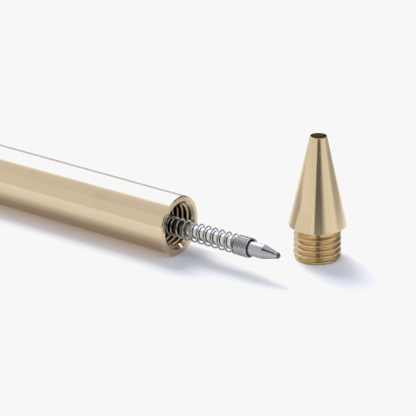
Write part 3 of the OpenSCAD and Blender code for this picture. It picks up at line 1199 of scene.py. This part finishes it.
@dataclass
class Surroundings:
    """The world's light: a plain level, and panels laid over it in turn.

    The metal sees the panels, while the table takes one plain share of light from the world, and
    the rest from the lamps.
    """

    level: float = 1.035
    tint: Colour = (1.0, 1.0, 1.02)
    table_share: float = 0.122
    table_tint: Colour = (0.3, 0.6, 2.95)
    panels: tuple[Panel, ...] = (
        Panel("soft_box", 140.6, 38.7, 0.24, 0.60, 3.2, soft=0.07, roll=-45.0, tint=(0.86, 0.99, 1.25)),
        Panel("back_horizon", 120.0, 0.0, 2.2, 0.38, 0.86, soft=0.15, tint=(0.97, 1.06, 1.28)),
        Panel("right_wall", 68.0, 38.0, 0.5, 0.5, 0.22, soft=0.12),
        Panel("small_lamp", 50.0, 37.0, 0.05, 0.05, 30.0, soft=0.01),
        Panel("zenith_gap", 262.0, 55.0, 0.26, 0.27, 0.1, soft=0.04),
        Panel("dark_by_camera", -52.5, 17.0, 0.25, 0.46, 0.17, soft=0.07),
    )

    def build(self) -> None:
        """Builds the world's nodes."""
        world = bpy.data.worlds.new("studio")
        world.use_nodes = True
        bpy.context.scene.world = world
        board = Board(world.node_tree)
        where = board.body("Generated")
        seen: Value = scaled(self.tint, self.level)
        for panel in self.panels:
            seen = board.mix(panel.mask(board, where), seen, scaled(panel.tint, panel.level))
        diffuse = board.place("LightPath", {}).outputs["Is Diffuse Ray"]
        plain = scaled(self.table_tint, self.table_share)
        board.join(world.node_tree.nodes["Background"], {"Color": board.mix(diffuse, seen, plain)})


def flat_card(name: str, corners: Sequence[Point | Array]) -> Piece:
    """A flat four sided card.

    Args:
        name: Its name.
        corners: Its corners in turn, in millimetres.

    Returns:
        The card.
    """
    mesh = bpy.data.meshes.new(name)
    mesh.from_pydata((np.array(corners, float) * MM).tolist(), [], [(0, 1, 2, 3)])
    return new_object(name, mesh)


@dataclass(frozen=True)
class Flag:
    """A card near the object, dark or pale, which only the polished metal sees.

    Attributes:
        name: Its name.
        foot: The point in millimetres from which it is measured.
        facing: Degrees from +X towards +Y, square to its width.
        right: How far it reaches clockwise of the foot, seen from above, in millimetres.
        left: How far it reaches the other way.
        height: Its height, or its depth along the facing where it lies flat.
        level: Its brightness, where the lit table is 1.
        share: How much it hides of what is behind it.
        fades: Millimetres over which its right, left, near and far edges fade out.
        tint: Its colour.
        upright: Whether it stands on the table.
    """

    name: str
    foot: Point
    facing: float
    right: float
    left: float
    height: float
    level: float
    share: float
    fades: tuple[float, float, float, float]
    tint: Colour = WHITE
    upright: bool = True

    def stand(self) -> Piece:
        """Makes the card and hides it from the camera, the lamps and the table.

        Returns:
            The card.
        """
        foot, across = np.array(self.foot), aim(self.facing + 90.0, 0.0)
        rise = self.height * aim(self.facing, 90.0 if self.upright else 0.0)
        start, end = foot - self.right * across, foot + self.left * across
        card = flat_card(self.name, (start, end, end + rise, start + rise))
        width, height = self.right + self.left, self.height
        layer = card.data.uv_layers.new(name=UV_LAYER)
        layer.data.foreach_set("uv", (0.0, 0.0, width, 0.0, width, height, 0.0, height))
        card.data.materials.append(self.finish(width))
        card.visible_camera = card.visible_diffuse = card.visible_shadow = False
        return card

    def finish(self, width: float) -> Material:
        """A dim card whose edges fade: the share times a smooth step from each edge.

        Args:
            width: The card's width.

        Returns:
            Its material.
        """
        material, board, shader = glowing(self.name, self.tint, self.level)
        place = board.split(board.surface())
        right, left, near, far = self.fades
        shown = None
        for axis, edge, full in (("X", 0.0, right), ("X", width, width - left),
                                 ("Y", 0.0, near), ("Y", self.height, self.height - far)):
            if edge == full:
                continue
            most = self.share if shown is None else 1.0
            step = board.ramp(place[axis], (edge, full), (0.0, most), Step.EASED)
            shown = step if shown is None else board.math("MULTIPLY", shown, step)
        board.join(shader, {"Alpha": shown})
        return material


@dataclass(frozen=True)
class Bounce:
    """The warm light that the barrel throws on the table before it.

    A strip just outside the barrel, from its lowest line to its front, which only the table sees.

    Attributes:
        level: Its brightness, where the lit table is 1.
        tint: Its colour.
        reach: Degrees round the barrel that it covers.
        radius: Its distance from the barrel's axis in millimetres.
        span: The stations where it begins and ends.
        rows: Rows of points round the barrel.
    """

    level: float = 0.50
    tint: Colour = (1.0, 0.72, 0.46)
    reach: float = 95.0
    radius: float = 5.04
    span: tuple[float, float] = (-111.0, -0.8)
    rows: int = 25

    def lay(self) -> Piece:
        """Makes the strip and hides it from the camera, the metal and the lamps.

        Returns:
            The strip.
        """
        under = np.radians(np.linspace(0.0, -self.reach, self.rows))[:, None]
        angle, station = np.broadcast_arrays(under, np.array([self.span]))
        points = MOUTH.place(self.radius, angle, station)
        strip = grid_piece("barrel_bounce", points, angle, station)
        strip.data.materials.append(glowing("barrel_bounce", self.tint, self.level)[0])
        strip.visible_camera = strip.visible_glossy = strip.visible_shadow = False
        return strip


@dataclass
class Studio:
    """The table, the light and the camera.

    Attributes:
        camera_place: The camera's place in millimetres.
        camera_turn: Its turn about the vertical, its pitch down and its roll, in degrees.
        focus: Its focal length in pixels of the photograph's width.
        width: That width in pixels.
        sensor: The camera's own width in millimetres.
        clip: Its nearest and farthest view in metres.
        white: The brightness at which the picture's white is cut off.
        table_reach: Half the table's width in millimetres.
        lamps: The lamps that light the table.
        flags: The cards that the metal sees.
    """

    camera_place: Point = (275.24, -303.90, 164.85)
    camera_turn: tuple[float, float, float] = (-36.493, 22.748, 0.398)
    focus: float = 2500.0
    width: float = 416.0
    sensor: float = 36.0
    clip: tuple[float, float] = (0.01, 20.0)
    white: float = 0.93
    table_reach: float = 3000.0
    lamps: tuple[SoftLamp, ...] = (
        SoftLamp("key_lamp", 159.0, 56.0, 26.0, 1.78, (0.99, 1.0, 0.90)),
        SoftLamp("low_lamp", 147.0, 25.0, 60.0, 3.32, (1.0, 0.93, 0.79)),
        SoftLamp("front_lamp", 318.0, 53.0, 84.0, 2.1, (0.98, 1.0, 0.81)),
    )
    flags: tuple[Flag, ...] = (
        Flag("camera_flag", (91.7, -26.0, 0.0), -53.5, 10.4, 27.0, 30.0, 0.18, 1.0,
             (0.5, 21.0, 0.0, 2.0)),
        Flag("side_flag", (95.2, 32.6, 0.0), 44.0, 21.0, 30.0, 20.0, 0.60, 1.0,
             (14.0, 8.0, 0.0, 2.0)),
        Flag("back_flag", (-41.0, 45.0, 0.0), 90.0, 79.0, 79.0, 19.0, 0.78, 1.0,
             (6.0, 0.0, 0.0, 1.5), (0.99, 1.05, 1.22)),
        # A dim card seen only in the nose cone: a painted reflection of the spring, the refill and
        # their shadows
        Flag("spring_reflection_card", (57.4, 0.4, 0.0), 209.0, 5.0, 5.0, 11.0, 0.72, 0.85,
             (1.0, 1.0, 0.0, 1.0)),
        Flag("cone_fill", (66.3, 0.6, 4.3), 270.0, 2.4, 3.4, 4.6, 1.1, 1.0,
             (0.4, 0.3, 0.2, 0.8)),
        Flag("thread_shade", (88.4, 30.7, 20.0), 50.0, 8.0, 8.0, 14.0, 0.30, 1.0,
             (1.0, 1.0, 1.0, 1.0)),
        Flag("rim_shade", (80.0, 30.7, 41.8), 50.0, 6.0, 6.0, 11.0, 0.85, 1.0,
             (1.0, 1.0, 0.2, 1.0)),
        # A dark card close to the nose cone's thread, seen only in the metal: a painted dark reflected
        # streak down its middle
        Flag("thread_strip", (71.6, 1.15, 0.0), -53.5, 1.2, 1.2, 5.6, 0.30, 0.90,
             (0.5, 0.5, 0.0, 0.8)),
        # A warm dark sheet on the table under the barrel, seen only in the metal: a painted reflection
        # of shade on the barrel's underside
        Flag("underside_shade_reflection_card", (-8.0, -7.5, 0.05), 270.0, 64.0, 56.0, 10.5, 1.0, 0.35,
             (0.0, 0.0, 0.0, 5.5), (0.24, 0.14, 0.11), upright=False),
    )

    def camera(self) -> None:
        """Sets the camera at the photograph's angle, from its turn, its pitch and its roll."""
        data = bpy.data.cameras.new("camera")
        data.sensor_width = self.sensor
        data.lens = self.focus / self.width * self.sensor
        data.clip_start, data.clip_end = self.clip
        view = new_object("camera", data)
        yaw, pitch, roll = self.camera_turn
        ahead, level = aim(90.0 - yaw, -pitch), aim(-yaw, 0.0)
        down, lean = np.cross(ahead, level), math.radians(roll)
        right = math.cos(lean) * level + math.sin(lean) * down
        turn = np.eye(4)
        turn[:3] = np.stack(
            [right, -np.cross(ahead, right), -ahead, np.array(self.camera_place) * MM], axis=-1)
        view.matrix_world = Matrix(turn.tolist())
        bpy.context.scene.camera = view

    def light(self) -> None:
        """Lights the table, and cuts the picture's white off a little below full white."""
        settings = bpy.context.scene.view_settings
        settings.view_transform = "Standard"
        settings.use_curve_mapping = True
        tone = settings.curve_mapping
        tone.extend = "HORIZONTAL"
        # The last curve is the one for all three colours together
        tone.curves[3].points[1].location = (1.0, self.white)
        tone.update()
        Surroundings().build()
        for lamp in self.lamps:
            lamp.hang()

    def table(self) -> None:
        """Lays the plain pale table and sets up the cards."""
        corners = [(self.table_reach * x, self.table_reach * y, 0.0)
                   for x, y in ((-1, -1), (1, -1), (1, 1), (-1, 1))]
        table = flat_card("table", corners)
        material, board, shader = new_material("pale_table")
        board.join(shader, {"Roughness": 0.9, "Specular IOR Level": 0.0, "Base Color": (0.8, 0.8, 0.8)})
        table.data.materials.append(material)
        for piece in (table, Bounce().lay(), *(flag.stand() for flag in self.flags)):
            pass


def main() -> None:
    """Builds the studio, then each sub-assembly, and dresses the solids that stay."""
    logging.basicConfig(level=logging.INFO, format="%(name)s: %(message)s")
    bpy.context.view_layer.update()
    studio = Studio()
    studio.camera()
    studio.light()
    studio.table()
    patterns = SharedPatterns()
    finishes = {slot: finish.make(patterns) for slot, finish in FINISHES.items()}
    pieces = [
        *Barrel().build(finishes["brass"], BARREL_BRASS.make(patterns)),
        *NoseCone().build(NOSE_BRASS.make(patterns)),
        *ReturnSpring().build(finishes["spring_steel"]), *Refill().build(finishes)]
    for piece in pieces:
        LOG.info("%s: %d faces", piece.name, len(piece.data.polygons))
    for node, slot in PLAIN_SOLIDS:
        dress(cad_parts[node], finishes[slot])


if __name__ == "__main__":
    main()
